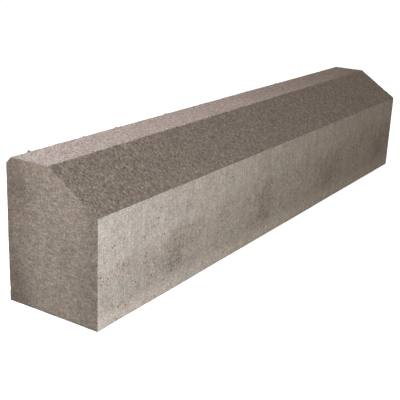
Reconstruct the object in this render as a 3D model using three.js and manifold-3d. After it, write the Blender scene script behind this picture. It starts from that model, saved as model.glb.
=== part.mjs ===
// Precast concrete wheel stop, 1000 x 150 x 200 mm.
//
// A single pressed concrete unit of low battered kerb section, cast around a
// small steel cage that stands on plastic bar chairs, with two blind plastic
// sleeves in its underside for the anchor dowels.
//
// Millimetres. +X along the unit, -Y towards the wheel (the battered side),
// +Z up. The origin is the middle of the underside.

import * as THREE from 'three';
import { mergeVertices } from 'three/addons/utils/BufferGeometryUtils.js';
import Module from 'manifold-3d';

const wasm = await Module();
wasm.setup();

// ---- concrete section -----------------------------------------------------
const LENGTH = 1000;          // overall length
const WIDTH = 150;            // overall width at the underside
const HEIGHT = 200;           // overall height
const FACE_HEIGHT = 150;      // height of the upright wheel-side face
const TOP_FRONT = 4;          // y where the batter meets the flat top
const CHAMFER = 9;            // chamfer along the back top arris

// ---- steel ----------------------------------------------------------------
const BAR_D = 8;              // longitudinal bars
const BAR_LENGTH = 930;       // leaves 35 mm of cover at each end
const LINK_D = 6;             // links
const COVER = 30;             // concrete over the links
const LINK_PITCH = 210;       // spacing of the links
const LINK_COUNT = 5;
const LINK_LAP = 8;           // the two ends of a link lie this far apart
const HOOK_ANGLE = 135;       // hook bend at both ends of a link, degrees
const HOOK_TAIL = 30;         // straight tail after the bend

// ---- bar chairs -----------------------------------------------------------
const CHAIR_X = [-365, 60, 365];
const CHAIR_LENGTH = 20;      // saddle length along the bar
const CHAIR_WALL = 3;
const CHAIR_FOOT_RECESS = 0.3;// feet lie this far above the underside

// ---- dowel sleeves --------------------------------------------------------
const SLEEVE_X = 315;         // left and right of the middle
const SLEEVE_BORE = 25;       // takes a 16 to 20 mm dowel with grout
const SLEEVE_OD = 30;
const SLEEVE_LENGTH = 118;
const SLEEVE_FLANGE_D = 44;

// ---- gaps between neighbouring pieces -------------------------------------
const GAP = 0.3;              // between two pieces that bear on each other
const CAST_GAP = 0.4;         // between concrete and the steel cast into it

// ---- sides used for the round pieces --------------------------------------
const BAR_SIDES = 12;
const LINK_SIDES = 8;
const SLEEVE_SIDES = 16;

// ---------------------------------------------------------------------------
// booleans

function positionsOnly( geometry ) {

	const g = geometry.clone();
	g.deleteAttribute( 'normal' );
	g.deleteAttribute( 'uv' );
	const merged = mergeVertices( g, 1e-4 );
	const index = merged.getIndex().array;
	const kept = [];
	for ( let i = 0; i < index.length; i += 3 ) {

		const a = index[ i ], b = index[ i + 1 ], c = index[ i + 2 ];
		if ( a !== b && b !== c && c !== a ) kept.push( a, b, c );

	}

	// a profile turned the other way round gives faces that point inwards
	const p = merged.getAttribute( 'position' );
	const va = new THREE.Vector3(), vb = new THREE.Vector3(), vc = new THREE.Vector3();
	let volume = 0;
	for ( let i = 0; i < kept.length; i += 3 ) {

		va.fromBufferAttribute( p, kept[ i ] );
		vb.fromBufferAttribute( p, kept[ i + 1 ] );
		vc.fromBufferAttribute( p, kept[ i + 2 ] );
		volume += va.dot( vb.cross( vc ) );

	}

	if ( volume < 0 ) {

		for ( let i = 0; i < kept.length; i += 3 ) [ kept[ i + 1 ], kept[ i + 2 ] ] = [ kept[ i + 2 ], kept[ i + 1 ] ];

	}

	merged.setIndex( kept );
	return merged;

}

function toSolid( geometry ) {

	const g = positionsOnly( geometry );
	return new wasm.Manifold( new wasm.Mesh( {
		numProp: 3,
		vertProperties: Float32Array.from( g.getAttribute( 'position' ).array ),
		triVerts: Uint32Array.from( g.getIndex().array )
	} ) );

}

function toGeometry( solid ) {

	const mesh = solid.getMesh();
	const g = new THREE.BufferGeometry();
	g.setAttribute( 'position', new THREE.BufferAttribute( Float32Array.from( mesh.vertProperties ), 3 ) );
	g.setIndex( Array.from( mesh.triVerts ) );
	return g;

}

function join( solids ) {

	return solids.reduce( ( a, b ) => a.add( b ) );

}

// ---------------------------------------------------------------------------
// shapes

// A section drawn in (y, z), run along x from x0 to x1.
function runAlongX( points, x0, x1 ) {

	const shape = new THREE.Shape( points.map( ( [ y, z ] ) => new THREE.Vector2( y, z ) ) );
	const g = new THREE.ExtrudeGeometry( shape, { depth: x1 - x0, bevelEnabled: false, steps: 1 } );
	const toX = new THREE.Matrix4().makeBasis(
		new THREE.Vector3( 0, 1, 0 ), new THREE.Vector3( 0, 0, 1 ), new THREE.Vector3( 1, 0, 0 ) );
	g.applyMatrix4( toX );
	g.translate( x0, 0, 0 );
	return g;

}

function box( x0, x1, y0, y1, z0, z1 ) {

	const g = new THREE.BoxGeometry( x1 - x0, y1 - y0, z1 - z0 );
	g.translate( ( x0 + x1 ) / 2, ( y0 + y1 ) / 2, ( z0 + z1 ) / 2 );
	return g;

}

// A line of knots joined by straight steps, each knot with its own direction.
class KnotCurve extends THREE.Curve {

	constructor( knots, directions ) {

		super();
		this.knots = knots;
		this.directions = directions;

	}

	getPointAt( u, target = new THREE.Vector3() ) {

		const s = u * ( this.knots.length - 1 );
		const i = Math.min( Math.floor( s + 1e-9 ), this.knots.length - 2 );
		return target.lerpVectors( this.knots[ i ], this.knots[ i + 1 ], s - i );

	}

	getPoint( t, target ) {

		return this.getPointAt( t, target );

	}

	getTangentAt( u, target = new THREE.Vector3() ) {

		return target.copy( this.directions[ Math.round( u * ( this.knots.length - 1 ) ) ] );

	}

}

// ---------------------------------------------------------------------------
// cage layout, all in (y, z)

const BACK = WIDTH / 2, FRONT = - WIDTH / 2;
const linkIn = COVER + LINK_D / 2;                       // centreline of a link below the surface
const barIn = LINK_D / 2 + GAP + BAR_D / 2;              // bar centre inside a link's centreline
const linkTopBack = HEIGHT - linkIn;                     // the link's corners, before rounding
const linkTopFront = 130;
const topSlope = Math.atan2( linkTopBack - linkTopFront, WIDTH - 2 * linkIn );
const topNormal = new THREE.Vector2( - Math.sin( topSlope ), Math.cos( topSlope ) );

function barUnderTop( y ) {

	// height at which a bar at y hangs barIn below the sloping top of the link
	const cornerY = FRONT + linkIn;
	return linkTopFront + ( - barIn - ( y - cornerY ) * topNormal.x ) / topNormal.y;

}

const barY = WIDTH / 2 - linkIn - barIn;
const barZ = linkIn + barIn;
const BARS = {
	bar_bottom_front: [ - barY, barZ ],
	bar_bottom_back: [ barY, barZ ],
	bar_top_front: [ - barY, barUnderTop( - barY ) ],
	bar_top_back: [ barY, barUnderTop( barY ) ]
};

// One link: an open stirrup bent round the four bars, whose two hooked ends
// lap beside each other round the top back bar.
function linkGeometry( radius, extra ) {

	const knots = [], directions = [];
	const put = ( centre, angle, ahead, x ) => {

		const a = THREE.MathUtils.degToRad( angle );
		const direction = new THREE.Vector3( 0, - Math.sin( a ), Math.cos( a ) );
		const p = new THREE.Vector3( x, centre[ 0 ] + barIn * Math.cos( a ), centre[ 1 ] + barIn * Math.sin( a ) );
		knots.push( p.addScaledVector( direction, ahead ) );
		directions.push( direction );

	};

	const arc = ( centre, from, to, x ) => {

		const steps = Math.ceil( ( to - from ) / 23 );
		for ( let i = 0; i <= steps; i ++ ) put( centre, from + ( to - from ) * i / steps, 0, x );

	};

	const top = 90 + THREE.MathUtils.radToDeg( topSlope );
	const tail = HOOK_TAIL + extra;
	put( BARS.bar_top_back, top - HOOK_ANGLE, - tail, - LINK_LAP / 2 );
	arc( BARS.bar_top_back, top - HOOK_ANGLE, top, - LINK_LAP / 2 );
	arc( BARS.bar_top_front, top, 180, - LINK_LAP / 2 );
	arc( BARS.bar_bottom_front, 180, 270, 0 );
	arc( BARS.bar_bottom_back, 270, 360, LINK_LAP / 2 );
	arc( BARS.bar_top_back, 0, HOOK_ANGLE, LINK_LAP / 2 );
	put( BARS.bar_top_back, HOOK_ANGLE, tail, LINK_LAP / 2 );

	const section = new THREE.Shape();
	for ( let i = 0; i < LINK_SIDES; i ++ ) {

		const a = 2 * Math.PI * ( i + 0.5 ) / LINK_SIDES;
		const x = radius * Math.cos( a ), y = radius * Math.sin( a );
		if ( i === 0 ) section.moveTo( x, y ); else section.lineTo( x, y );

	}

	section.closePath();
	return new THREE.ExtrudeGeometry( section, {
		steps: knots.length - 1, extrudePath: new KnotCurve( knots, directions ), curveSegments: 1 } );

}

function barGeometry( radius, extra ) {

	const g = new THREE.CylinderGeometry( radius, radius, BAR_LENGTH + 2 * extra, BAR_SIDES );
	g.rotateZ( - Math.PI / 2 );
	return g;

}

// One bar chair about the bar's centre: two splayed trestles under a saddle
// that clips round the lower half of the bar.
function chairSolid( grow, footBottom ) {

	const half = CHAIR_LENGTH / 2;
	const rIn = BAR_D / 2 + GAP - grow, rOut = BAR_D / 2 + GAP + CHAIR_WALL + grow;
	const reach = 100 + THREE.MathUtils.radToDeg( grow / rOut );
	const ring = [];
	const steps = 8;
	for ( let i = 0; i <= steps; i ++ ) {

		const a = THREE.MathUtils.degToRad( 270 - reach + 2 * reach * i / steps );
		ring.push( [ rOut * Math.cos( a ), rOut * Math.sin( a ) ] );

	}

	for ( let i = steps; i >= 0; i -- ) {

		const a = THREE.MathUtils.degToRad( 270 - reach + 2 * reach * i / steps );
		ring.push( [ rIn * Math.cos( a ), rIn * Math.sin( a ) ] );

	}

	const parts = [ toSolid( runAlongX( ring, - half - grow, half + grow ) ) ];
	const w = CHAIR_WALL / 2 + grow;
	for ( const side of [ - 1, 1 ] ) {

		const topPoint = new THREE.Vector2( side * 3.6, - 5.4 );
		const footPoint = new THREE.Vector2( side * 11, 2 - barZ );
		const along = footPoint.clone().sub( topPoint ).normalize();
		const across = new THREE.Vector2( - along.y, along.x ).multiplyScalar( w );
		const a = topPoint.clone(), b = footPoint.clone();
		const leg = [ [ a.x + across.x, a.y + across.y ], [ a.x - across.x, a.y - across.y ],
			[ b.x - across.x, b.y - across.y ], [ b.x + across.x, b.y + across.y ] ];
		for ( const end of [ - 1, 1 ] ) {

			const x = end * ( half - 3 );
			parts.push( toSolid( runAlongX( leg, x - 2 - grow, x + 2 + grow ) ) );
			const fy = side * 11.2;
			parts.push( toSolid( box( x - 3 - grow, x + 3 + grow, fy - 2.6 - grow, fy + 2.6 + grow,
				footBottom - barZ, 3.2 + grow - barZ ) ) );

		}

	}

	const tieZ = 16 - barZ;
	for ( const end of [ - 1, 1 ] ) {

		const x = end * ( half - 3 );
		parts.push( toSolid( box( x - 2 - grow, x + 2 + grow, - 8.4, 8.4, tieZ - w, tieZ + w ) ) );

	}

	parts.push( toSolid( box( - half + 2, half - 2, - w, w, tieZ - w, tieZ + w ) ) );
	return join( parts );

}

// Outside of a dowel sleeve as (radius, height), from the closed top down.
function sleeveOutside( grow ) {

	const r = SLEEVE_OD / 2 + grow, rib = 2;
	const line = [ [ 0, SLEEVE_LENGTH + grow ], [ 9, SLEEVE_LENGTH - 1 + grow ],
		[ r - 1.5, SLEEVE_LENGTH - 4.5 + grow ], [ r, SLEEVE_LENGTH - 9 ] ];
	for ( const z of [ 84, 44 ] ) {

		line.push( [ r, z + 3 + grow ], [ r + rib, z ], [ r, z - 3 - grow ] );

	}

	line.push( [ r, 3.5 + grow ], [ SLEEVE_FLANGE_D / 2 + grow, 2.5 + grow ] );
	return line;

}

function turned( line ) {

	const g = new THREE.LatheGeometry( line.map( ( [ r, z ] ) => new THREE.Vector2( r, z ) ), SLEEVE_SIDES );
	g.rotateX( Math.PI / 2 );
	return g;

}

function sleeveGeometry() {

	const bore = SLEEVE_BORE / 2;
	const line = sleeveOutside( 0 );
	line.push( [ SLEEVE_FLANGE_D / 2, CHAIR_FOOT_RECESS ], [ bore + 1, CHAIR_FOOT_RECESS ], [ bore, 1.5 ],
		[ bore, SLEEVE_LENGTH - 9.5 ], [ bore - 1.2, SLEEVE_LENGTH - 6 ],
		[ 7.5, SLEEVE_LENGTH - 3.4 ], [ 0, SLEEVE_LENGTH - 2.6 ] );
	return positionsOnly( turned( line ) );

}

function sleeveSocket() {

	const line = sleeveOutside( GAP );
	line.push( [ SLEEVE_FLANGE_D / 2 + GAP, - 1 ], [ 0, - 1 ] );
	return toSolid( turned( line ) );

}

// ---------------------------------------------------------------------------
// places

const linkX = Array.from( { length: LINK_COUNT }, ( _, i ) => ( i - ( LINK_COUNT - 1 ) / 2 ) * LINK_PITCH );
const CHAIRS = [];
for ( const [ side, y ] of [ [ 'front', - barY ], [ 'back', barY ] ] ) {

	[ 'left', 'middle', 'right' ].forEach( ( where, i ) => CHAIRS.push( [ `bar_chair_${ side }_${ where }`, CHAIR_X[ i ], y ] ) );

}

// ---------------------------------------------------------------------------
// concrete block: the outer section less everything cast into it. The feet of
// the chairs and the mouths of the sleeves break out at the underside.

const section = [
	[ FRONT, 0 ], [ BACK, 0 ], [ BACK, HEIGHT - CHAMFER ], [ BACK - CHAMFER, HEIGHT ],
	[ TOP_FRONT, HEIGHT ], [ FRONT, FACE_HEIGHT ]
];
const outer = toSolid( runAlongX( section, - LENGTH / 2, LENGTH / 2 ) );

const cast = [];
for ( const [ y, z ] of Object.values( BARS ) ) {

	cast.push( toSolid( barGeometry( BAR_D / 2 + CAST_GAP, CAST_GAP ) ).translate( 0, y, z ) );

}

const linkEnvelope = toSolid( linkGeometry( LINK_D / 2 + CAST_GAP, CAST_GAP ) );
for ( const x of linkX ) cast.push( linkEnvelope.translate( x, 0, 0 ) );

const chairEnvelope = chairSolid( GAP, - 1 );
for ( const [ , x, y ] of CHAIRS ) cast.push( chairEnvelope.translate( x, y, barZ ) );

const socket = sleeveSocket();
for ( const x of [ - SLEEVE_X, SLEEVE_X ] ) cast.push( socket.translate( x, 0, 0 ) );

const block = outer.subtract( join( cast ) );

// ---------------------------------------------------------------------------
// the assembly

const concrete = new THREE.MeshStandardMaterial( { color: 0x8f837a, roughness: 0.95, metalness: 0, flatShading: true } );
const rebar = new THREE.MeshStandardMaterial( { color: 0x6d5a4c, roughness: 0.7, metalness: 0.8, flatShading: true } );
const plastic = new THREE.MeshStandardMaterial( { color: 0x3c3f42, roughness: 0.6, metalness: 0, flatShading: true } );
const sleevePlastic = new THREE.MeshStandardMaterial( { color: 0x2b2b2d, roughness: 0.5, metalness: 0, flatShading: true } );

function place( parent, name, geometry, material, x = 0, y = 0, z = 0 ) {

	const mesh = new THREE.Mesh( geometry, material );
	mesh.name = name;
	mesh.position.set( x, y, z );
	parent.add( mesh );
	return mesh;

}

const wheelStop = new THREE.Group();
wheelStop.name = 'wheel_stop';

place( wheelStop, 'concrete_block', toGeometry( block ), concrete );

const cage = new THREE.Group();
cage.name = 'cage';
wheelStop.add( cage );
const barShape = barGeometry( BAR_D / 2, 0 );
for ( const [ name, [ y, z ] ] of Object.entries( BARS ) ) place( cage, name, barShape, rebar, 0, y, z );
const linkShape = linkGeometry( LINK_D / 2, 0 );
linkX.forEach( ( x, i ) => place( cage, `link_${ i + 1 }`, linkShape, rebar, x ) );

const chairs = new THREE.Group();
chairs.name = 'chairs';
chairs.position.z = barZ;
wheelStop.add( chairs );
const chairShape = toGeometry( chairSolid( 0, CHAIR_FOOT_RECESS ) );
for ( const [ name, x, y ] of CHAIRS ) place( chairs, name, chairShape, plastic, x, y );

const sleeves = new THREE.Group();
sleeves.name = 'sleeves';
wheelStop.add( sleeves );
const sleeveShape = sleeveGeometry();
place( sleeves, 'dowel_sleeve_left', sleeveShape, sleevePlastic, - SLEEVE_X );
place( sleeves, 'dowel_sleeve_right', sleeveShape, sleevePlastic, SLEEVE_X );

export default wheelStop;
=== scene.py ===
# Precast concrete wheel stop: the looks. Metres, in the CAD frame.
import math

import bmesh
import bpy
import numpy as np
from mathutils import Matrix, Vector
from mathutils.geometry import delaunay_2d_cdt


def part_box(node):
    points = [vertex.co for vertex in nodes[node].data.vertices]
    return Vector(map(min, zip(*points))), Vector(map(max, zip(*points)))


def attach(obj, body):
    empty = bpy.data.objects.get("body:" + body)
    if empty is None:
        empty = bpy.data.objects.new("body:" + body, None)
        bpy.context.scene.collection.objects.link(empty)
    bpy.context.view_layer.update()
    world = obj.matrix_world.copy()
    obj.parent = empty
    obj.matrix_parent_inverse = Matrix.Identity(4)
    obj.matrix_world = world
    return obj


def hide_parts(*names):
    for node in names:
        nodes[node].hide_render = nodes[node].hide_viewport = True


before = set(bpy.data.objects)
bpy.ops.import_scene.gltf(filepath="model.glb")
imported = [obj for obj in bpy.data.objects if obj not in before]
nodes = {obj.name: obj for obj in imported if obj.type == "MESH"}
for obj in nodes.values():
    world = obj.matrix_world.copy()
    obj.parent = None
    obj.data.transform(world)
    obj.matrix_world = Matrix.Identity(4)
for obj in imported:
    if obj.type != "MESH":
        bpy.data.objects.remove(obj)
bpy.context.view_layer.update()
scene = bpy.context.scene

MM = 0.001
LO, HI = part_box("concrete_block")
LENGTH = (HI.x - LO.x) / MM
WIDTH = (HI.y - LO.y) / MM
HEIGHT = (HI.z - LO.z) / MM
FACE = 150.0            # height of the upright wheel-side face
TOP_FRONT = 4.0         # y where the batter meets the flat top
CHAMFER = 9.0           # back top arris
# section, counterclockwise seen with y to the right and z up
SECTION = [(-WIDTH / 2, 0.0), (WIDTH / 2, 0.0), (WIDTH / 2, HEIGHT - CHAMFER),
           (WIDTH / 2 - CHAMFER, HEIGHT), (TOP_FRONT, HEIGHT), (-WIDTH / 2, FACE)]


# ---------------------------------------------------------------------------
# seeded noise, for moving vertices

def _hash(ix, iy, iz, seed):
    h = (ix.astype(np.uint32) * np.uint32(0x8DA6B343)) ^ (iy.astype(np.uint32) * np.uint32(0xD8163841)) \
        ^ (iz.astype(np.uint32) * np.uint32(0xCB1AB31F)) ^ np.uint32((seed * 0x9E3779B1) & 0xFFFFFFFF)
    h ^= h >> np.uint32(16)
    h *= np.uint32(0x7FEB352D)
    h ^= h >> np.uint32(15)
    h *= np.uint32(0x846CA68B)
    h ^= h >> np.uint32(16)
    return h


def _unit(h):
    return (h & np.uint32(0xFFFFFF)).astype(np.float32) / np.float32(0xFFFFFF)


def noise3(p, cell, seed):
    """Gradient noise, about -1 to 1, of points p in millimetres. cell is one size or three."""
    q = (p / np.asarray(cell, np.float32)).astype(np.float32)
    i = np.floor(q).astype(np.int64)
    f = q - i
    u = f * f * f * (f * (f * 6 - 15) + 10)
    out = np.zeros(len(p), np.float32)
    for dx in (0, 1):
        wx = u[:, 0] if dx else 1 - u[:, 0]
        for dy in (0, 1):
            wy = u[:, 1] if dy else 1 - u[:, 1]
            for dz in (0, 1):
                wz = u[:, 2] if dz else 1 - u[:, 2]
                h = _hash(i[:, 0] + dx, i[:, 1] + dy, i[:, 2] + dz, seed)
                gx = (h & np.uint32(1023)).astype(np.float32) / 511.5 - 1
                gy = ((h >> np.uint32(10)) & np.uint32(1023)).astype(np.float32) / 511.5 - 1
                gz = ((h >> np.uint32(20)) & np.uint32(1023)).astype(np.float32) / 511.5 - 1
                out += wx * wy * wz * (gx * (f[:, 0] - dx) + gy * (f[:, 1] - dy) + gz * (f[:, 2] - dz))
    return out * 1.5


def fbm(p, cell, octaves, seed, gain=0.5):
    cell = np.asarray(cell, np.float32)
    total, amp, norm = np.zeros(len(p), np.float32), 1.0, 0.0
    for k in range(octaves):
        total += amp * noise3(p, cell / 2 ** k, seed + 17 * k)
        norm += amp
        amp *= gain
    return total / norm


def scatter(p, cell, r_low, r_high, share, seed, flat=0.0):
    """0 to 1: round spots of radius r_low to r_high, one at most in each cell, present in that share of the cells. flat widens a spot's floor."""
    q = p / np.float32(cell)
    i = np.floor(q).astype(np.int64)
    out = np.zeros(len(p), np.float32)
    for dx in (-1, 0, 1):
        for dy in (-1, 0, 1):
            for dz in (-1, 0, 1):
                cx, cy, cz = i[:, 0] + dx, i[:, 1] + dy, i[:, 2] + dz
                h = _hash(cx, cy, cz, seed)
                h2 = _hash(cx, cy, cz, seed + 101)
                px = cx + (h & np.uint32(1023)).astype(np.float32) / 1023
                py = cy + ((h >> np.uint32(10)) & np.uint32(1023)).astype(np.float32) / 1023
                pz = cz + ((h >> np.uint32(20)) & np.uint32(1023)).astype(np.float32) / 1023
                there = (h2 & np.uint32(1023)).astype(np.float32) / 1023 < share
                radius = (r_low + (r_high - r_low) * ((h2 >> np.uint32(10)) & np.uint32(1023)).astype(np.float32) / 1023) / cell
                d2 = ((q[:, 0] - px) ** 2 + (q[:, 1] - py) ** 2 + (q[:, 2] - pz) ** 2) / radius ** 2
                spot = np.where(there, np.clip((1 - d2) / (1 - flat), 0, 1), 0).astype(np.float32)
                np.maximum(out, spot, out=out)
    return out


def smooth(a, b, x):
    t = np.clip((x - a) / (b - a), 0, 1)
    return t * t * (3 - 2 * t)


# ---------------------------------------------------------------------------
# the block's skin: a rounded section run along x, with a filled cap at each end

ARRIS = 0.9             # radius along the length
END_ARRIS = 0.8         # radius round the ends


def section_loop(step_for):
    """Points, outward normals and edge number round the rounded section."""
    pts, nrm, edge = [], [], []
    n = len(SECTION)
    for k in range(n):
        a, b, c = np.array(SECTION[k - 1]), np.array(SECTION[k]), np.array(SECTION[(k + 1) % n])
        d0, d1 = (b - a) / np.linalg.norm(b - a), (c - b) / np.linalg.norm(c - b)
        n0, n1 = np.array([d0[1], -d0[0]]), np.array([d1[1], -d1[0]])
        turn = math.atan2(d0[0] * d1[1] - d0[1] * d1[0], d0 @ d1)
        cut = ARRIS * math.tan(turn / 2)
        centre = b - d0 * cut - n0 * ARRIS
        arc = max(2, round(turn * ARRIS / 0.55))
        for i in range(arc + 1):
            t = turn * i / arc
            m = np.array([n0[0] * math.cos(t) - n0[1] * math.sin(t), n0[0] * math.sin(t) + n0[1] * math.cos(t)])
            pts.append(centre + m * ARRIS)
            nrm.append(m)
            edge.append(k)
        # straight run to the next corner
        e, f = np.array(SECTION[(k + 1) % n]), np.array(SECTION[(k + 2) % n])
        d2 = (f - e) / np.linalg.norm(f - e)
        turn2 = math.atan2(d1[0] * d2[1] - d1[1] * d2[0], d1 @ d2)
        start, stop = b + d1 * cut, e - d1 * ARRIS * math.tan(turn2 / 2)
        length = np.linalg.norm(stop - start)
        count = max(2, int(round(length / step_for[k])))
        for i in range(1, count):
            pts.append(start + (stop - start) * i / count)
            nrm.append(n1)
            edge.append(k)
    return np.array(pts), np.array(nrm), np.array(edge)


def skin():
    """Vertices, normals and faces of the undisplaced rounded block, in millimetres."""
    # edges in SECTION's order: underside, back, chamfer, top, batter, front
    pts, nrm, edge = section_loop([2.6, 1.9, 1.1, 1.2, 1.2, 1.5])
    loop = len(pts)
    half = LENGTH / 2
    turn = [i * math.pi / 2 / 4 for i in range(5)]
    inner = np.linspace(-(half - END_ARRIS), half - END_ARRIS, 801)
    xs, inset, tilt = [], [], []
    for t in reversed(turn[1:]):
        xs.append(-(half - END_ARRIS) - END_ARRIS * math.sin(t)); inset.append(END_ARRIS * (1 - math.cos(t))); tilt.append(-t)
    for x in inner:
        xs.append(x); inset.append(0.0); tilt.append(0.0)
    for t in turn[1:]:
        xs.append(half - END_ARRIS + END_ARRIS * math.sin(t)); inset.append(END_ARRIS * (1 - math.cos(t))); tilt.append(t)
    xs, inset, tilt = map(np.array, (xs, inset, tilt))
    count = len(xs)
    co = np.zeros((count, loop, 3), np.float32)
    no = np.zeros((count, loop, 3), np.float32)
    co[:, :, 0] = xs[:, None]
    co[:, :, 1:] = pts[None] - inset[:, None, None] * nrm[None]
    no[:, :, 0] = np.sin(tilt)[:, None]
    no[:, :, 1:] = np.cos(tilt)[:, None, None] * nrm[None]
    j = np.arange(loop)
    quads = []
    for s in range(count - 1):
        a = s * loop + j
        b = s * loop + (j + 1) % loop
        quads.append(np.stack([a, b, b + loop, a + loop], 1))
    quads = np.concatenate(quads)
    co, no = co.reshape(-1, 3), no.reshape(-1, 3)
    # caps
    rng = np.random.default_rng(11)
    tris = []
    for side, first in ((-1, 0), (1, (count - 1) * loop)):
        border = co[first:first + loop, 1:].astype(float)
        step = 1.5
        gy, gz = np.meshgrid(np.arange(-75 + 3, 75 - 2.4, step), np.arange(3, 198, step * 0.866))
        gy[1::2] += step / 2
        g = np.stack([gy.ravel(), gz.ravel()], 1) + rng.uniform(-0.2, 0.2, (gy.size, 2))
        depth = np.full(len(g), 1e9)
        for k in range(len(SECTION)):
            a, b = np.array(SECTION[k]), np.array(SECTION[(k + 1) % len(SECTION)])
            d = (b - a) / np.linalg.norm(b - a)
            depth = np.minimum(depth, (g - a) @ np.array([-d[1], d[0]]))
        g = g[depth > 2.6]
        flat = [Vector(v) for v in np.concatenate([border, g]).tolist()]
        out = delaunay_2d_cdt(flat, [(i, (i + 1) % loop) for i in range(loop)], [], 1, 1e-7)
        if len(out[0]) != len(flat):
            raise RuntimeError("the cap's points were merged")
        source = [o[0] for o in out[3]]
        base = len(co)
        place = {}
        extra = []
        for new, old in enumerate(source):
            if old < loop:
                place[new] = first + old
            else:
                place[new] = base + len(extra)
                extra.append((side * half, *flat[old]))
        co = np.concatenate([co, np.array(extra, np.float32)])
        no = np.concatenate([no, np.tile(np.array([[side, 0, 0]], np.float32), (len(extra), 1))])
        t = np.array([[place[v] for v in f] for f in out[2]])
        # out[2] is counterclockwise in (y, z), which faces +x
        tris.append(t if side > 0 else t[:, ::-1])
    return co, no, quads, np.concatenate(tris)


def inward(p):
    """Depth below each of the seven faces, in millimetres: underside, back, chamfer, top, batter, front, ends."""
    rows = []
    for k in range(len(SECTION)):
        a, b = np.array(SECTION[k]), np.array(SECTION[(k + 1) % len(SECTION)])
        d = (b - a) / np.linalg.norm(b - a)
        rows.append((p[:, 1] - a[0]) * -d[1] + (p[:, 2] - a[1]) * d[0])
    rows.append(LENGTH / 2 - np.abs(p[:, 0]))
    return np.stack(rows, 1)


STRAY = [(-468.0, 1.9), (-361.7, 1.0), (-289.5, 1.5), (-234.8, 1.0), (-207.9, 1.1), (-165.0, 1.3), (-52.0, 1.0), (210.0, 1.2)]   # x and radius


def displace(p, n):
    """How far each vertex moves along its normal, in millimetres."""
    depth = inward(p)
    coarse = np.zeros(len(p), np.float32)     # how granular: batter, top and chamfer
    for k, amount in ((4, 1.0), (3, 0.8), (2, 0.8)):
        coarse = np.maximum(coarse, amount * (1 - smooth(0.3, 2.2, depth[:, k])))
    d = np.zeros(len(p), np.float32)
    # slow waviness of the pressed faces
    d += 0.35 * fbm(p, 120, 2, 3) + 0.15 * fbm(p, 30, 3, 5)
    # upright faces: a fine skin with sparse blow holes
    fine = coarse < 0.5
    pf = p[fine]
    under = depth[fine, 0] < 1.5
    holes = scatter(pf, 15, 1.2, 2.6, 0.34, 21) * (fbm(pf, 45, 2, 23) > -0.05)
    df = 0.14 * fbm(pf, 5.5, 2, 25) - 0.75 * np.sqrt(holes) * np.where(under, 0.15, 1.0)
    d[fine] += df
    # grains and the pits between them
    g = coarse > 0
    pg = p[g]
    grain = 0.35 * fbm(pg, 4.2, 2, 31) + 0.55 * noise3(pg, 2.5, 33)
    stones = scatter(pg, 6.5, 1.3, 2.4, 0.6, 41)
    pits = scatter(pg, 7.5, 1.2, 2.6, 0.5, 43)
    grain += 0.22 * stones - 0.38 * pits
    d[g] += coarse[g] * grain
    # stray grains left standing on the back edge of the top
    for gx, gr in STRAY:
        r2 = ((p[:, 0] - gx) ** 2 + (p[:, 1] - 66.5) ** 2 + (p[:, 2] - 200) ** 2) / (gr * 1.25) ** 2
        d += np.where(r2 < 1, gr * 1.1 * np.sqrt(np.clip(1 - r2, 0, 1)), 0).astype(np.float32)
    # arrises: worn a little unevenly, with small chips
    order = np.sort(depth, 1)
    near = 1 - smooth(0.0, 4.5, order[:, 1])
    e = near > 0
    pe = p[e]
    worn = 0.30 * (fbm(pe, 9, 2, 51)) - 0.10
    chips = scatter(pe, 26, 2.0, 4.2, 0.30, 53)
    d[e] += near[e] * (worn - 1.1 * chips)
    return d


def block_mesh():
    co, no, quads, tris = skin()
    d = displace(co, no)
    co = co + no * d[:, None]
    co[:, 2] = np.maximum(co[:, 2], 0.05)
    mesh = bpy.data.meshes.new("wheel_stop_block")
    n4, n3 = len(quads), len(tris)
    mesh.vertices.add(len(co))
    mesh.vertices.foreach_set("co", (co * MM).astype(np.float32).ravel())
    mesh.loops.add(n4 * 4 + n3 * 3)
    mesh.loops.foreach_set("vertex_index", np.concatenate([quads.ravel(), tris.ravel()]).astype(np.int32))
    mesh.polygons.add(n4 + n3)
    mesh.polygons.foreach_set("loop_start", np.concatenate([np.arange(n4) * 4, n4 * 4 + np.arange(n3) * 3]).astype(np.int32))
    mesh.update(calc_edges=True)
    mesh.validate()
    return mesh


mesh = block_mesh()
block = bpy.data.objects.new("wheel_stop_block", mesh)
scene.collection.objects.link(block)
for p in mesh.polygons:
    p.use_smooth = True


def apply_modifiers(obj):
    dg = bpy.context.evaluated_depsgraph_get()
    new = bpy.data.meshes.new_from_object(obj.evaluated_get(dg), preserve_all_data_layers=True, depsgraph=dg)
    old = obj.data
    obj.modifiers.clear()
    obj.data = new
    bpy.data.meshes.remove(old)


tri = block.modifiers.new("triangulate", "TRIANGULATE")
faces = sum(len(p.vertices) - 2 for p in mesh.polygons)
dec = block.modifiers.new("thin", "DECIMATE")
dec.ratio = 178000 / faces
apply_modifiers(block)

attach(block, "root")
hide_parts("concrete_block")

# ---------------------------------------------------------------------------
# procedural materials

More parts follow.
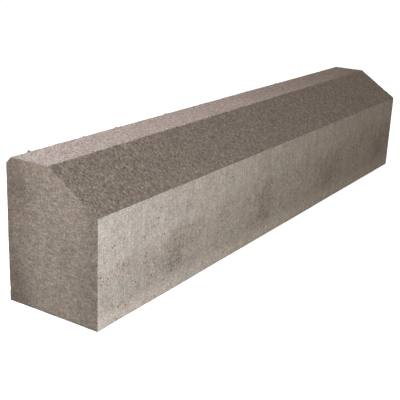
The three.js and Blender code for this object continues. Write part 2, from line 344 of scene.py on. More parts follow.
class Tree:
    """Short names for the nodes of a material. A number or a socket goes in anywhere."""

    def __init__(self, name, specular=0.35):
        self.mat = bpy.data.materials.new(name)
        self.mat.use_nodes = True
        self.nt = self.mat.node_tree
        self.bsdf = self.nt.nodes["Principled BSDF"]
        self.bsdf.inputs["Specular IOR Level"].default_value = specular
        tc = self.nt.nodes.new("ShaderNodeTexCoord")
        self.p = self.vec("SCALE", tc.outputs["Object"], scale=1000.0)
        xyz = self.nt.nodes.new("ShaderNodeSeparateXYZ")
        self.nt.links.new(self.p, xyz.inputs[0])
        self.x, self.y, self.z = xyz.outputs

    def put(self, socket, value):
        if isinstance(value, bpy.types.NodeSocket):
            self.nt.links.new(value, socket)
        elif isinstance(value, (tuple, list)) and len(value) == 3 and socket.type == "RGBA":
            socket.default_value = (*value, 1)
        else:
            socket.default_value = value

    def m(self, op, a, b=0.0, c=0.0, clamp=False):
        n = self.nt.nodes.new("ShaderNodeMath")
        n.operation, n.use_clamp = op, clamp
        for s, v in zip(n.inputs, (a, b, c)):
            self.put(s, v)
        return n.outputs[0]

    def add(self, a, b): return self.m("ADD", a, b)
    def sub(self, a, b): return self.m("SUBTRACT", a, b)
    def mul(self, a, b): return self.m("MULTIPLY", a, b)

    def vec(self, op, a, b=None, scale=None):
        n = self.nt.nodes.new("ShaderNodeVectorMath")
        n.operation = op
        self.put(n.inputs[0], a)
        if b is not None:
            self.put(n.inputs[1], b)
        if scale is not None:
            self.put(n.inputs["Scale"], scale)
        return n.outputs["Value"] if op in ("LENGTH", "DOT_PRODUCT") else n.outputs["Vector"]

    def step(self, v, a, b, low=0.0, high=1.0):
        n = self.nt.nodes.new("ShaderNodeMapRange")
        n.interpolation_type = "SMOOTHSTEP"
        for s, x in zip(("Value", "From Min", "From Max", "To Min", "To Max"), (v, a, b, low, high)):
            self.put(n.inputs[s], x)
        return n.outputs["Result"]

    def line(self, v, a, b, low, high, clamp=True):
        n = self.nt.nodes.new("ShaderNodeMapRange")
        n.clamp = clamp
        for s, x in zip(("Value", "From Min", "From Max", "To Min", "To Max"), (v, a, b, low, high)):
            self.put(n.inputs[s], x)
        return n.outputs["Result"]

    def noise(self, size, detail=2.0, rough=0.5, seed=0.0, distort=0.0, at=None):
        """Noise of about that size in millimetres, one size or three: 0 to 1."""
        sx, sy, sz = (size,) * 3 if isinstance(size, (int, float)) else size
        v = self.vec("MULTIPLY", at or self.p, (1 / sx, 1 / sy, 1 / sz))
        v = self.vec("ADD", v, (seed * 7.31, seed * 3.17, seed * 5.93))
        n = self.nt.nodes.new("ShaderNodeTexNoise")
        self.put(n.inputs["Vector"], v)
        n.inputs["Scale"].default_value = 1.0
        n.inputs["Detail"].default_value = detail
        n.inputs["Roughness"].default_value = rough
        n.inputs["Distortion"].default_value = distort
        return n.outputs["Fac"]

    def cells(self, size, seed=0.0, feature="F1", smoothness=None, at=None):
        """Voronoi cells: (distance, random 0 to 1 of the cell, another)."""
        sx, sy, sz = (size,) * 3 if isinstance(size, (int, float)) else size
        v = self.vec("MULTIPLY", at or self.p, (1 / sx, 1 / sy, 1 / sz))
        v = self.vec("ADD", v, (seed * 5.17, seed * 2.71, seed * 9.13))
        n = self.nt.nodes.new("ShaderNodeTexVoronoi")
        n.feature = feature
        self.put(n.inputs["Vector"], v)
        n.inputs["Scale"].default_value = 1.0
        c = self.nt.nodes.new("ShaderNodeSeparateColor")
        self.nt.links.new(n.outputs["Color"], c.inputs[0])
        return n.outputs["Distance"], c.outputs[0], c.outputs[1]

    def spots(self, size, share, r_low, r_high, seed=0.0, soft=0.35):
        """0 to 1: round spots, radii in millimetres, one in each cell of that size, in that share of the cells (a number or a socket)."""
        d, a, b = self.cells(size, seed)
        there = self.m("LESS_THAN", a, share)
        radius = self.line(b, 0, 1, r_low / size, r_high / size)
        rim = self.mul(radius, 1 - soft)
        inside = self.step(d, radius, rim)
        return self.mul(there, inside)

    def mix(self, fac, a, b, how="MIX"):
        n = self.nt.nodes.new("ShaderNodeMix")
        n.data_type, n.blend_type = "RGBA", how
        n.clamp_factor = True
        self.put(n.inputs[0], fac)
        self.put(n.inputs[6], a)
        self.put(n.inputs[7], b)
        return n.outputs[2]

    def shade(self, colour, amount):
        """The colour times a number."""
        n = self.nt.nodes.new("ShaderNodeVectorMath")
        n.operation = "SCALE"
        self.put(n.inputs[0], colour)
        self.put(n.inputs["Scale"], amount)
        return n.outputs["Vector"]

    def ramp(self, v, stops):
        n = self.nt.nodes.new("ShaderNodeValToRGB")
        self.put(n.inputs[0], v)
        e = n.color_ramp.elements
        while len(e) < len(stops):
            e.new(0.5)
        for k, (at, c) in zip(e, stops):
            k.position = at
            k.color = (c, c, c, 1) if isinstance(c, (int, float)) else (*c, 1)
        return n.outputs["Color"]

    def centred(self, v, amount):
        """1 plus amount times a 0 to 1 noise about its middle; the usual spread of the noise is a fifth."""
        return self.m("MULTIPLY_ADD", self.sub(v, 0.5), self.mul(amount, 2.0), 1.0)

    def finish(self, colour, rough, height):
        self.put(self.bsdf.inputs["Base Color"], colour)
        self.put(self.bsdf.inputs["Roughness"], rough)
        b = self.nt.nodes.new("ShaderNodeBump")
        b.inputs["Strength"].default_value = 1.0
        b.inputs["Distance"].default_value = 0.001      # heights are in millimetres
        self.put(b.inputs["Height"], height)
        self.nt.links.new(b.outputs["Normal"], self.bsdf.inputs["Normal"])
        return self.mat


def concrete_material():
    t = Tree("pressed_concrete", specular=0.3)
    x, y, z = t.x, t.y, t.z
    m, add, sub, mul = t.m, t.add, t.sub, t.mul
    along = t.line(x, -500, 500, 0, 1)

    # depth below each face, so that the nearest face can be told
    bl = math.hypot(50.0, 79.0)
    d_front = add(y, 75.0)
    d_back = sub(75.0, y)
    d_top = sub(200.0, z)
    d_under = z
    d_end = sub(500.0, m("ABSOLUTE", x))
    d_batter = add(mul(add(y, 75.0), 50.0 / bl), mul(sub(150.0, z), 79.0 / bl))
    d_chamfer = mul(add(sub(75.0, y), sub(191.0, z)), 0.70711)
    ragged = mul(sub(t.noise(2.2, 2, 0.6, 22), 0.5), 3.6)
    d_end, d_top = add(d_end, ragged), add(d_top, mul(ragged, 0.8))
    low = d_front
    for d in (d_back, d_top, d_under, d_end, d_batter, d_chamfer):
        low = m("MINIMUM", low, d)

    def on(d, width=0.7):
        return t.step(sub(d, low), width, 0.0)

    on_end, on_top, on_batter = on(d_end, 0.9), on(d_top), on(d_batter)
    on_back, on_under, on_chamfer = on(d_back), on(d_under), on(d_chamfer)

    # shared textures
    cloud = t.noise(95, 3, 0.55, 1)
    mottle = t.noise(15, 4, 0.6, 2)
    grit = t.noise(2.5, 3, 0.65, 3)
    sand = t.noise(1.3, 2, 0.6, 4)
    speckle = t.noise(3.3, 4, 0.80, 18)
    d3, cell_a, _ = t.cells((2.3, 3.0, 3.0), 5)
    grain = t.noise((1.6, 3.9, 3.9), 3, 0.68, 23)

    # --- upright pressed faces ---
    streak = t.noise((6.5, 6.5, 85), 3, 0.6, 6)
    streak_fine = t.noise((3.6, 3.6, 38), 2, 0.55, 7)
    upper = t.step(z, 66, 96)
    wave = mul(sub(mottle, 0.5), 26)
    rise = mul(t.step(x, -330, -170), 24)
    band = mul(t.step(add(z, wave), 14, 34), sub(1.0, t.step(sub(add(z, mul(sub(cloud, 0.5), 40)), rise), 62, 98)))

    def spot_at(x0, z0, rx, rz, rag, soft):
        """0 to 1: a ragged patch that repeats along the face, 258 mm apart."""
        u = m("DIVIDE", m("WRAP", add(sub(x, x0), mul(sub(cloud, 0.5), 24)), 129.0, -129.0), rx)
        v = m("DIVIDE", sub(z, z0), rz)
        d = m("SQRT", add(mul(u, u), mul(v, v)))
        return t.step(add(d, mul(sub(mottle, 0.5), rag)), 1.3, 1.3 - soft)

    patch = spot_at(-335, 56, 60, 42, 1.9, 1.2)
    core = mul(spot_at(-335, 46, 23, 17, 2.2, 1.1), t.line(x, -300, 200, 1.0, 0.35))
    pocks = m("MAXIMUM", spot_at(-457, 70, 19, 17, 2.0, 0.8), spot_at(-457, 19, 30, 9, 2.0, 0.8))
    pale = spot_at(-350, 98, 34, 17, 1.5, 1.0)
    dense = add(add(mul(band, 0.26), mul(patch, 0.16)), add(mul(core, 0.75), mul(pocks, 0.60)))
    pores = t.spots(4.6, add(dense, 0.16), 0.7, 1.7, 9)
    pores_fine = t.spots(2.7, add(mul(dense, 0.9), 0.22), 0.5, 1.0, 10)

    fair = mul(t.centred(cloud, 0.10), t.centred(mottle, 0.22))
    fair = mul(fair, t.centred(speckle, add(0.72, mul(m("MAXIMUM", patch, pocks), 0.35))))
    fair = mul(mul(fair, t.centred(sand, 1.15)), t.line(cell_a, 0, 1, 0.90, 1.10))
    tone = mul(fair, t.centred(streak, add(0.07, mul(upper, mul(t.step(x, -440, -150), 0.15)))))
    tone = mul(tone, t.centred(streak_fine, t.line(upper, 0, 1, 0.10, 0.24)))
    tone = mul(tone, sub(1.0, mul(band, 0.10)))
    tone = mul(tone, sub(1.0, mul(patch, t.line(x, -335, -77, 0.11, 0.165))))
    worm = t.step(t.noise((3.0, 3.0, 4.2), 2, 0.5, 27), 0.53, 0.60)
    tone = mul(tone, sub(1.0, mul(mul(core, worm), 0.26)))
    tone = mul(tone, sub(1.0, mul(core, 0.09)))
    tone = mul(tone, add(1.0, mul(pale, 0.06)))
    # Painted highlight: the front is a tenth lighter within about 3 mm of each end, a light line along the arris.
    tone = mul(tone, add(1.0, mul(t.step(d_end, 3.2, 1.4), 0.10)))
    # Painted bounce light from the floor: the front is lighter towards its foot, by up to about a seventh at the near
    # end and a twelfth at the far end.
    tone = mul(tone, add(1.0, mul(t.step(add(z, mul(wave, 0.5)), 30, 8), t.line(x, -300, 100, 0.145, 0.085))))
    # Painted shade in the pores: they are darkened by about a half, and the bump sinks them as well.
    tone = mul(tone, sub(1.0, mul(pores, 0.56)))
    tone = mul(tone, sub(1.0, mul(pores_fine, 0.50)))
    # Partly painted light: the front runs from pale and neutral at the near end to darker and warmer at the far end.
    # This is a painted sheen and fall-off of light over its own tone.
    front = t.ramp(along, [(0.0, (0.382, 0.349, 0.312)), (0.13, (0.356, 0.314, 0.276)), (0.36, (0.330, 0.284, 0.234)),
                           (0.66, (0.292, 0.244, 0.193)), (0.84, (0.300, 0.244, 0.192)), (1.0, (0.292, 0.232, 0.182))])
    damp = m("MULTIPLY_ADD", band, 0.4, mul(m("MAXIMUM", patch, pocks), 0.6), clamp=True)
    front = t.shade(t.mix(damp, front, t.vec("MULTIPLY", front, (1.025, 0.985, 0.95))), tone)
    hue = t.step(t.noise(34, 3, 0.55, 25), 0.36, 0.64)
    front = t.vec("MULTIPLY", front, t.mix(hue, (0.985, 1.006, 1.0), (1.018, 0.992, 0.996)))

    back_tone = mul(mul(fair, t.centred(cloud, 0.14)), t.centred(streak, 0.14))
    # Painted shade in the pores: dark spots on the back, darkened by about two fifths.
    back_tone = mul(back_tone, sub(1.0, mul(t.spots(5.6, 0.40, 0.7, 1.7, 19), 0.42)))
    back = t.shade(t.ramp(cloud, [(0.3, (0.305, 0.260, 0.218)), (0.7, (0.350, 0.305, 0.262))]), back_tone)

    # --- struck end ---
    smear = t.noise((9, 11, 3.4), 3, 0.62, 11, distort=0.5)
    smudge = t.noise((20, 9, 40), 2, 0.5, 12)
    to_back = t.step(add(y, mul(sub(cloud, 0.5), 60)), 18, 72)
    to_front = t.step(add(y, mul(sub(cloud, 0.5), 30)), -34, -72)
    to_foot = t.step(add(z, mul(sub(mottle, 0.5), 50)), 84, 4)
    corner = mul(t.step(add(y, wave), 24, 62), t.step(add(z, wave), 70, 12))

    def stain_at(y0, z0, ry, rz):
        u, v = m("DIVIDE", sub(y, y0), ry), m("DIVIDE", sub(z, z0), rz)
        d = m("SQRT", add(mul(u, u), mul(v, v)))
        return t.step(add(d, mul(sub(mottle, 0.5), 2.4)), 1.3, 0.3)

    stain = m("MAXIMUM", m("MAXIMUM", stain_at(46, 158, 22, 26), stain_at(-30, 83, 24, 26)), mul(stain_at(66, 48, 14, 46), 0.9))
    stain = m("MAXIMUM", stain, mul(stain_at(-54, 50, 24, 26), 0.9))
    stain = m("MAXIMUM", stain, mul(t.step(smudge, 0.54, 0.68), 0.6))
    hatch = t.noise((4, 5.4, 1.7), 3, 0.66, 24)
    ends = mul(mul(t.centred(smear, 0.40), t.centred(mottle, 0.18)), mul(t.centred(speckle, 0.26), t.centred(hatch, 0.60)))
    ends = mul(mul(ends, t.centred(sand, 1.00)), t.line(cell_a, 0, 1, 0.93, 1.07))
    ends = mul(ends, sub(1.0, mul(stain, 0.13)))
    ends = mul(ends, sub(1.0, mul(to_front, 0.22)))
    ends = mul(ends, sub(1.0, mul(to_foot, 0.07)))
    pecks = add(0.26, add(mul(stain, 0.40), mul(to_front, 0.22)))
    # Painted shade in the pits: the end's dark pecks, darkened by about a half and by two fifths.
    ends = mul(ends, sub(1.0, mul(t.spots(4.8, pecks, 0.6, 1.3, 13), 0.52)))
    ends = mul(ends, sub(1.0, mul(t.spots(2.8, pecks, 0.5, 0.9, 20), 0.40)))
    tint = t.mix(to_back, (0.250, 0.207, 0.171), (0.184, 0.146, 0.117))
    tint = t.mix(corner, tint, (0.160, 0.125, 0.099))
    end = t.shade(tint, ends)

    # --- open-grained faces ---
    pits = t.spots(3.1, 0.60, 0.6, 1.25, 14, soft=0.45)
    specks = t.spots(3.8, 0.36, 0.5, 1.05, 15, soft=0.45)
    drag = t.noise((2.2, 12, 12), 2, 0.5, 16)
    coarse = t.noise(3.6, 3, 0.66, 17)
    open_tone = mul(t.centred(coarse, 0.10), t.line(cell_a, 0, 1, 0.72, 1.28))
    fade = t.line(x, -350, 400, 1.0, 0.56)
    open_tone = mul(open_tone, t.centred(grain, mul(fade, 1.62)))
    open_tone = mul(open_tone, t.centred(drag, 0.34))
    # Painted shade in the pits of the open-grained faces, darkened by a half; the bump sinks them too.
    open_tone = mul(open_tone, sub(1.0, mul(pits, 0.50)))
    open_tone = mul(open_tone, add(1.0, mul(specks, mul(fade, 0.40))))
    batter = t.shade(t.ramp(along, [(0.0, (0.185, 0.150, 0.122)), (0.5, (0.208, 0.165, 0.132)), (1.0, (0.245, 0.192, 0.149))]),
                     mul(open_tone, t.centred(cloud, 0.03)))
    top_tone = mul(mul(t.centred(coarse, 0.50), t.centred(speckle, 1.05)), mul(t.centred(grit, 1.35), t.line(cell_a, 0, 1, 0.88, 1.12)))
    # Painted shade in the pits of the top, darkened by about a quarter.
    top_tone = mul(top_tone, sub(1.0, mul(pits, 0.26)))
    top_tone = mul(top_tone, sub(1.0, mul(t.spots(5.0, 0.22, 0.6, 1.5, 21), 0.55)))
    top_tone = mul(top_tone, add(1.0, mul(specks, 0.12)))
    # Partly painted light: the top runs from pale and neutral at the near end to darker and warmer at the far end.
    # This is a painted sheen and fall-off of light over its own tone.
    top = t.shade(t.ramp(along, [(0.0, (0.395, 0.329, 0.302)), (0.45, (0.394, 0.316, 0.280)), (0.75, (0.340, 0.264, 0.220)), (1.0, (0.284, 0.218, 0.168))]),
                  mul(top_tone, t.centred(cloud, 0.06)))
    stray = None
    for gx, gr in STRAY[:6]:
        far = t.vec("LENGTH", t.vec("SUBTRACT", t.p, (gx, 66.5, 200.5)))
        here = t.step(far, gr * 1.5, gr * 1.1)
        stray = here if stray is None else m("MAXIMUM", stray, here)
    top = t.shade(top, sub(1.0, mul(stray, 0.62)))
    chamfer = t.shade(t.ramp(along, [(0.0, (0.30, 0.252, 0.220)), (1.0, (0.240, 0.192, 0.154))]), mul(open_tone, 1.0))
    under = t.shade((0.280, 0.241, 0.203), mul(mul(fair, t.centred(cloud, 0.14)), t.centred(grit, 0.3)))

    colour = front
    for fac, c in ((on_back, back), (on_under, under), (on_end, end), (on_chamfer, chamfer), (on_batter, batter), (on_top, top)):
        colour = t.mix(fac, colour, c)

    granular = m("MAXIMUM", m("MAXIMUM", on_batter, mul(on_top, 0.8)), mul(on_chamfer, 0.9))
    open_height = add(add(mul(coarse, 0.30), mul(grain, 1.5)), add(mul(t.step(d3, 0.6, 0.0), 0.20), mul(sub(specks, mul(pits, 1.4)), 0.42)))
    fair_height = add(add(mul(speckle, 0.34), mul(sand, 0.12)), add(mul(streak_fine, 0.06), mul(add(pores, mul(pores_fine, 0.5)), -0.55)))
    fair_height = add(fair_height, mul(smear, mul(on_end, 0.35)))
    height = add(mul(open_height, granular), mul(fair_height, sub(1.0, granular)))
    rough = add(t.line(grit, 0.2, 0.8, 0.80, 0.93), mul(granular, 0.04))
    return t.finish(colour, rough, height)


block.data.materials.clear()
block.data.materials.append(concrete_material())

# ---------------------------------------------------------------------------
# what is cast in

def steel_material(name, scale_colour, rust_colour, rust_at):
    t = Tree(name, specular=0.5)
    patches = t.noise(16, 4, 0.62, 31)
    fine = t.noise(1.6, 3, 0.6, 32)
    rust = t.step(t.add(patches, t.mul(t.sub(fine, 0.5), 0.35)), rust_at - 0.07, rust_at + 0.09)
    colour = t.mix(rust, t.shade(scale_colour, t.centred(fine, 0.3)), t.shade(rust_colour, t.centred(fine, 0.6)))
    t.put(t.bsdf.inputs["Metallic"], t.line(rust, 0, 1, 0.85, 0.10))
    return t.finish(colour, t.line(rust, 0, 1, 0.42, 0.86), t.mul(fine, t.line(rust, 0, 1, 0.03, 0.12)))


def plastic_material(name, colour, shine, dusty):
    t = Tree(name, specular=0.45)
    flow = t.noise((14, 14, 40), 3, 0.55, 33)
    orange = t.noise(0.9, 2, 0.5, 34)
    dust = t.m("MULTIPLY", t.step(t.noise(5, 4, 0.62, 35), 0.42, 0.66), t.step(t.z, dusty, dusty * 0.2), clamp=True)
    base = t.mix(t.mul(dust, 0.75), t.shade(colour, t.centred(flow, 0.5)), (0.30, 0.27, 0.235))
    rough = t.m("MULTIPLY_ADD", dust, 0.3, t.line(flow, 0.3, 0.7, shine - 0.05, shine + 0.06), clamp=True)
    return t.finish(base, rough, t.mul(orange, 0.05))


steel = steel_material("bar_steel", (0.125, 0.106, 0.095), (0.165, 0.088, 0.052), 0.54)
wire = steel_material("link_steel", (0.165, 0.146, 0.132), (0.175, 0.100, 0.062), 0.60)
chair_plastic = plastic_material("chair_plastic", (0.095, 0.097, 0.104), 0.55, 7)
sleeve_plastic = plastic_material("sleeve_plastic", (0.034, 0.035, 0.039), 0.45, 11)


def made(name, verts, faces, material, node, sharp=None):
    """A piece from vertices in millimetres that stands for that CAD node."""
    mesh = bpy.data.meshes.new(name)
    mesh.from_pydata([tuple(float(c) * MM for c in v) for v in verts], [], faces)
    mesh.update()
    mesh.polygons.foreach_set("use_smooth", [True] * len(mesh.polygons))
    if sharp is not None:
        mesh.set_sharp_from_angle(angle=math.radians(sharp))
    obj = bpy.data.objects.new(name, mesh)
    scene.collection.objects.link(obj)
    mesh.materials.append(material)
    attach(obj, "root")
    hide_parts(node)
    return obj


def centre(node):
    lo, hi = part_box(node)
    return (lo + hi) / 2 / MM


def rings(loops):
    """Faces between one ring of vertices and the next, with a fan at each end."""
    count, n = len(loops), len(loops[0])
    verts = [v for ring in loops for v in ring]
    faces = []
    for i in range(count - 1):
        for j in range(n):
            k = (j + 1) % n
            faces.append((i * n + j, i * n + k, (i + 1) * n + k, (i + 1) * n + j))
    for i, flip in ((0, False), (count - 1, True)):
        verts.append(tuple(np.mean(loops[i], axis=0)))
        for j in range(n):
            a, b = i * n + j, i * n + (j + 1) % n
            faces.append((a, b, len(verts) - 1) if flip else (b, a, len(verts) - 1))
    return verts, faces


# ribbed bars: two rows of crescent ribs, leaning, and the two ribs along the bar
BAR_CORE, BAR_RIB, RIB_PITCH = 3.70, 0.44, 6.2


def ribbed_bar(node):
    c = centre(node)
    lo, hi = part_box(node)
    x0, x1 = lo.x / MM, hi.x / MM
    sides = 20
    xs = np.arange(x0 + 0.4, x1 - 0.3, RIB_PITCH / 6)
    a = 2 * math.pi * np.arange(sides) / sides
    loops = []
    for x, shrink in [(x0, 0.35)] + [(x, 0.0) for x in xs] + [(x1, 0.35)]:
        lean = np.where(np.sin(a) > 0, 1, -1) * np.cos(a) * 1.3
        phase = ((x + lean) / RIB_PITCH) % 1.0
        rib = np.clip(1.5 - np.abs(phase - 0.5) / 0.16, 0, 1) * np.abs(np.sin(a)) ** 0.7
        seam = np.clip(1 - np.abs(np.sin(a)) / 0.30, 0, 1)
        r = BAR_CORE + BAR_RIB * np.maximum(rib, 0.75 * seam) - shrink
        loops.append([(x, c.y + r[i] * math.cos(a[i]), c.z + r[i] * math.sin(a[i])) for i in range(sides)])
    verts, faces = rings(loops)
    return made("ribbed_" + node, verts, faces, steel, node, sharp=50)


for node in ("bar_bottom_front", "bar_bottom_back", "bar_top_front", "bar_top_back"):
    ribbed_bar(node)

# links: open stirrups with two hooked ends that lap beside each other
LINK_R, BEND_R, LAP, TAIL, HOOK = 2.9, 7.3, 8.0, 30.0, 135.0


def link(node):
    x_mid = centre(node).x
    at = {n: (centre(n).y, centre(n).z) for n in ("bar_bottom_front", "bar_bottom_back", "bar_top_front", "bar_top_back")}
    f, b = at["bar_top_front"], at["bar_top_back"]
    top = 90 + math.degrees(math.atan2(b[1] - f[1], b[0] - f[0]))
    path = []

    def put(c, angle, ahead, x):
        r = math.radians(angle)
        d = np.array([0.0, -math.sin(r), math.cos(r)])
        p = np.array([x_mid + x, c[0] + BEND_R * math.cos(r), c[1] + BEND_R * math.sin(r)])
        path.append((p + d * ahead, d))

    def arc(c, start, stop, x):
        n = max(2, math.ceil(abs(stop - start) / 9))
        for i in range(n + 1):
            put(c, start + (stop - start) * i / n, 0, x)

    put(b, top - HOOK, -TAIL, -LAP / 2)
    arc(b, top - HOOK, top, -LAP / 2)
    arc(f, top, 180, -LAP / 2)
    arc(at["bar_bottom_front"], 180, 270, 0)
    arc(at["bar_bottom_back"], 270, 360, LAP / 2)
    arc(b, 0, HOOK, LAP / 2)
    put(b, HOOK, TAIL, LAP / 2)
    sides = 14
    loops = []
    first, last = path[0], path[-1]
    stations = [(first[0], first[1], LINK_R - 0.4)] + [(first[0] + first[1] * 0.4, first[1], LINK_R)] \
        + [(p, d, LINK_R) for p, d in path[1:-1]] + [(last[0] - last[1] * 0.4, last[1], LINK_R), (last[0], last[1], LINK_R - 0.4)]
    for p, d, r in stations:
        side = np.array([1.0, 0, 0])
        up = np.cross(d, side)
        loops.append([p + r * (math.cos(t) * side + math.sin(t) * up) for t in (2 * math.pi * i / sides for i in range(sides))])
    verts, faces = rings(loops)
    return made("bent_" + node, verts, faces, wire, node, sharp=50)


for k in range(1, 6):
    link("link_%d" % k)

# dowel sleeves, turned
SLEEVE_LINE = [(0, 118), (9, 117), (13.5, 113.5), (14.85, 109), (14.85, 87), (16.4, 84.3), (16.4, 83.7), (14.85, 81), (14.85, 47), (16.4, 44.3), (16.4, 43.7),
               (14.85, 41), (14.85, 2.75), (15.3, 2.45), (21.6, 2.4), (22, 2.0), (22, 0.6), (21.7, 0.3), (13.8, 0.3), (12.9, 0.6), (12.5, 1.5), (12.5, 60),
               (12.4, 108.5), (11.3, 112), (7.5, 114.6), (0, 115.4)]


def turned(line, x, sides, offset=0.0):
    """Vertices and faces of a closed turned shape about the upright line at x; the first and last points lie on it."""
    verts, faces = [(x, 0, line[0][1])], []
    n = len(line) - 2
    for r, z in line[1:-1]:
        for i in range(sides):
            t = 2 * math.pi * (i + offset) / sides
            verts.append((x + r * math.cos(t), r * math.sin(t), z))
    verts.append((x, 0, line[-1][1]))
    end = len(verts) - 1
    for i in range(sides):
        j = (i + 1) % sides
        faces.append((0, 1 + i, 1 + j))
        for k in range(n - 1):
            a, b = 1 + k * sides, 1 + (k + 1) * sides
            faces.append((a + i, b + i, b + j, a + j))
        faces.append((1 + (n - 1) * sides + i, end, 1 + (n - 1) * sides + j))
    return verts, faces


for node in ("dowel_sleeve_left", "dowel_sleeve_right"):
    verts, faces = turned(SLEEVE_LINE, centre(node).x, 64)
    made("turned_" + node, verts, faces, sleeve_plastic, node, sharp=28)


# bar chairs: the moulding with its sharp edges taken off
def cad_shape(node):
    """The CAD node's own mesh, joined up, in the row frame, in metres."""
    mesh = nodes[node].data.copy()
    mesh.transform(nodes[node].matrix_world)
    bm = bmesh.new()
    bm.from_mesh(mesh)
    bmesh.ops.remove_doubles(bm, verts=bm.verts, dist=2e-6)
    bmesh.ops.recalc_face_normals(bm, faces=bm.faces)
    bm.to_mesh(mesh)
    bm.free()
    for layer in list(mesh.attributes):
        if layer.name in ("custom_normal", "sharp_face", "sharp_edge"):
            mesh.attributes.remove(layer)
    mesh.update()
    return mesh


for node in sorted(n for n in nodes if n.startswith("bar_chair_")):
    mesh = cad_shape(node)
    mesh.name = "moulded_" + node
    bm = bmesh.new()
    bm.from_mesh(mesh)
    bmesh.ops.dissolve_limit(bm, angle_limit=math.radians(1), verts=bm.verts, edges=bm.edges)
    bm.to_mesh(mesh)
    bm.free()
    obj = bpy.data.objects.new("moulded_" + node, mesh)
    scene.collection.objects.link(obj)
    bev = obj.modifiers.new("edges", "BEVEL")
    bev.width, bev.segments, bev.limit_method, bev.angle_limit = 0.00035, 2, "ANGLE", math.radians(32)
    apply_modifiers(obj)
    obj.data.polygons.foreach_set("use_smooth", [True] * len(obj.data.polygons))
    obj.data.set_sharp_from_angle(angle=math.radians(38))
    obj.data.materials.clear()
    obj.data.materials.append(chair_plastic)
    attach(obj, "root")
    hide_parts(node)

# the hollows in the concrete
bm = bmesh.new()
core = [(-71, -5), (71, -5), (71, 189.3), (64.3, 196), (5.2, 196), (-71, 147.8)]
ends = [[bm.verts.new((x * MM, y * MM, z * MM)) for y, z in core] for x in (-496, 496)]
bm.faces.new(ends[0])
bm.faces.new(reversed(ends[1]))
for i in range(len(core)):
    j = (i + 1) % len(core)
    bm.faces.new((ends[0][j], ends[0][i], ends[1][i], ends[1][j]))
bmesh.ops.recalc_face_normals(bm, faces=bm.faces)
hollow_mesh = bpy.data.meshes.new("hollows")
bm.to_mesh(hollow_mesh)
bm.free()
hollows = bpy.data.objects.new("hollows", hollow_mesh)
solid = bpy.data.objects.new("cad_solid", cad_shape("concrete_block"))
helpers = [hollows, solid]
for node in ("dowel_sleeve_left", "dowel_sleeve_right"):
    # a clean round mouth round the flange
    verts, faces = turned([(0, 2.8), (22.42, 2.8), (22.42, -1), (0, -1)], centre(node).x, 64)
    m = bpy.data.meshes.new("mouth")
    m.from_pydata([tuple(c * MM for c in v) for v in verts], [], faces)
    helpers.append(bpy.data.objects.new("mouth_" + node, m))
for h in helpers:
    scene.collection.objects.link(h)


def cut(obj, tool):
    mod = obj.modifiers.new("cut", "BOOLEAN")
    mod.operation, mod.object, mod.solver = "DIFFERENCE", tool, "MANIFOLD"
    bpy.context.view_layer.update()
    apply_modifiers(obj)


cut(hollows, solid)
for tool in [hollows] + helpers[2:]:
    cut(block, tool)
for h in helpers:
    m = h.data
    bpy.data.objects.remove(h)
    bpy.data.meshes.remove(m)
co = np.zeros(len(block.data.vertices) * 3, np.float32)
block.data.vertices.foreach_get("co", co)
deep = inward(co.reshape(-1, 3) / MM).min(1) > 2.5
faces_smooth = np.ones(len(block.data.polygons), bool)
start = np.zeros(len(block.data.polygons), np.int32)
block.data.polygons.foreach_get("loop_start", start)
loop_vert = np.zeros(len(block.data.loops), np.int32)
block.data.loops.foreach_get("vertex_index", loop_vert)
any_deep = np.logical_or.reduceat(deep[loop_vert], start)
block.data.polygons.foreach_set("use_smooth", ~any_deep)
block.data.set_sharp_from_angle(angle=math.radians(62))
block.data.update()

# ---------------------------------------------------------------------------
# camera

FOCAL_PX = 806.925
CAM_AT = (-1.195066, -0.651815, 0.480232)
CAM_RIGHT = (0.542866, -0.838698, 0.043392)
CAM_UP = (0.245256, 0.207739, 0.946939)
CAM_BACK = (-0.80321, -0.503419, 0.31847)
cam_data = bpy.data.cameras.new("camera")
cam_data.sensor_width = 36.0
cam_data.lens = FOCAL_PX / 400 * 36.0
cam = bpy.data.objects.new("camera", cam_data)
rot = Matrix((CAM_RIGHT, CAM_UP, CAM_BACK)).transposed().to_4x4()
cam.matrix_world = Matrix.Translation(CAM_AT) @ rot
scene.collection.objects.link(cam)
scene.camera = cam

# ---------------------------------------------------------------------------
# stage

FLOOR_GLOW = 0.85
AMBIENT = 0.25

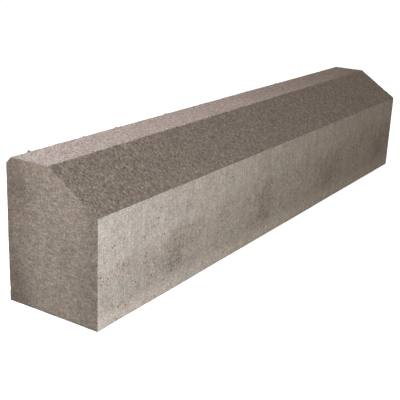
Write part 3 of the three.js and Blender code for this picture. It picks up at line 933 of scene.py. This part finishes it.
bpy.ops.mesh.primitive_plane_add(size=30, location=(0, 0, -0.0002))
floor = bpy.context.object
floor.name = "floor"
fm = bpy.data.materials.new("floor")
fm.use_nodes = True
nt = fm.node_tree
pale = nt.nodes["Principled BSDF"]
pale.inputs["Base Color"].default_value = (0.62, 0.62, 0.62, 1)
pale.inputs["Roughness"].default_value = 1.0
pale.inputs["Specular IOR Level"].default_value = 0.0
glow = nt.nodes.new("ShaderNodeEmission")
path = nt.nodes.new("ShaderNodeLightPath")
seen = nt.nodes.new("ShaderNodeMath")
seen.operation = "MULTIPLY"
seen.inputs[1].default_value = FLOOR_GLOW
both = nt.nodes.new("ShaderNodeAddShader")
nt.links.new(path.outputs["Is Camera Ray"], seen.inputs[0])
nt.links.new(seen.outputs[0], glow.inputs["Strength"])
nt.links.new(pale.outputs[0], both.inputs[0])
nt.links.new(glow.outputs[0], both.inputs[1])
nt.links.new(both.outputs[0], nt.nodes["Material Output"].inputs["Surface"])
floor.data.materials.append(fm)

world = bpy.data.worlds.new("studio")
scene.world = world
world.use_nodes = True
nt = world.node_tree
path = nt.nodes.new("ShaderNodeLightPath")
level = nt.nodes.new("ShaderNodeMapRange")
level.inputs["To Min"].default_value = AMBIENT
level.inputs["To Max"].default_value = 1.0
nt.links.new(path.outputs["Is Camera Ray"], level.inputs["Value"])
nt.links.new(level.outputs["Result"], nt.nodes["Background"].inputs["Strength"])
nt.nodes["Background"].inputs["Color"].default_value = (1, 1, 1, 1)


def area(name, at, to, size, power, colour=(1, 1, 1)):
    data = bpy.data.lights.new(name, "AREA")
    data.shape = "DISK"
    data.size = size
    data.energy = power
    data.color = colour
    obj = bpy.data.objects.new(name, data)
    obj.location = at
    obj.rotation_euler = (Vector(at) - Vector(to)).to_track_quat("Z", "Y").to_euler()
    obj.visible_camera = False
    scene.collection.objects.link(obj)
    return obj


area("key", (-1.05, -1.05, 0.58), (-0.30, 0, 0.1), 0.55, 17)
area("back_top", (-0.82, 0.62, 0.98), (-0.34, 0, 0.15), 0.5, 10.5)
area("fill", (1.8, 1.5, 1.6), (0.2, 0, 0.1), 1.2, 7)
# square on to the far end, level with it, so that it lights nothing else
area("far_end", (1.7, 0.0, 0.13), (0.5, 0, 0.11), 0.1, 7)

scene.view_settings.view_transform = "Standard"
scene.view_settings.look = "None"
